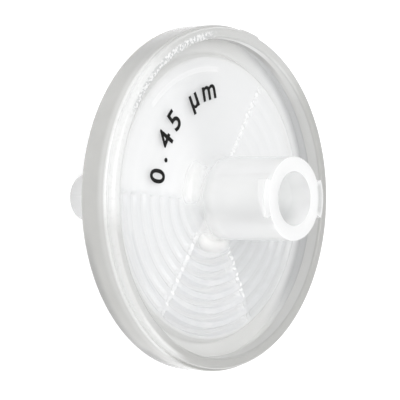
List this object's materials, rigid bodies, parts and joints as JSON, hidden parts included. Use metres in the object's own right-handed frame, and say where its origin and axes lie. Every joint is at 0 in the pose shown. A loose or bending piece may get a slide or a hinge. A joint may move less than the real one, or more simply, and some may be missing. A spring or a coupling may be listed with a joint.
{
  "type": "syringe filter",
  "caption": "Disposable disc filter for a syringe: translucent housing halves with a female Luer lock inlet and a male Luer tip, a membrane between them and a moulded sealing ring.",
  "frame": {"origin": "centre of the outlet tip's end face, on the plane that the filter stands on", "axes": "+Z along the flow axis, from the outlet tip up to the inlet mouth; X through the two lock lugs of the hub"},
  "size_m": [0.0284, 0.0284, 0.0227],
  "materials": {
    "clear_housing": "milky translucent polypropylene, satin gloss",
    "ring_plastic": "natural translucent polypropylene, greyer and satin",
    "membrane": "matt white micro-porous sheet",
    "print_ink": "matt black pad-printed ink"
  },
  "bodies": {
    "root": {"inlet_housing": "clear_housing", "outlet_housing": "clear_housing", "filter_membrane": "membrane", "sealing_ring": "ring_plastic"}
  },
  "joints": []
}
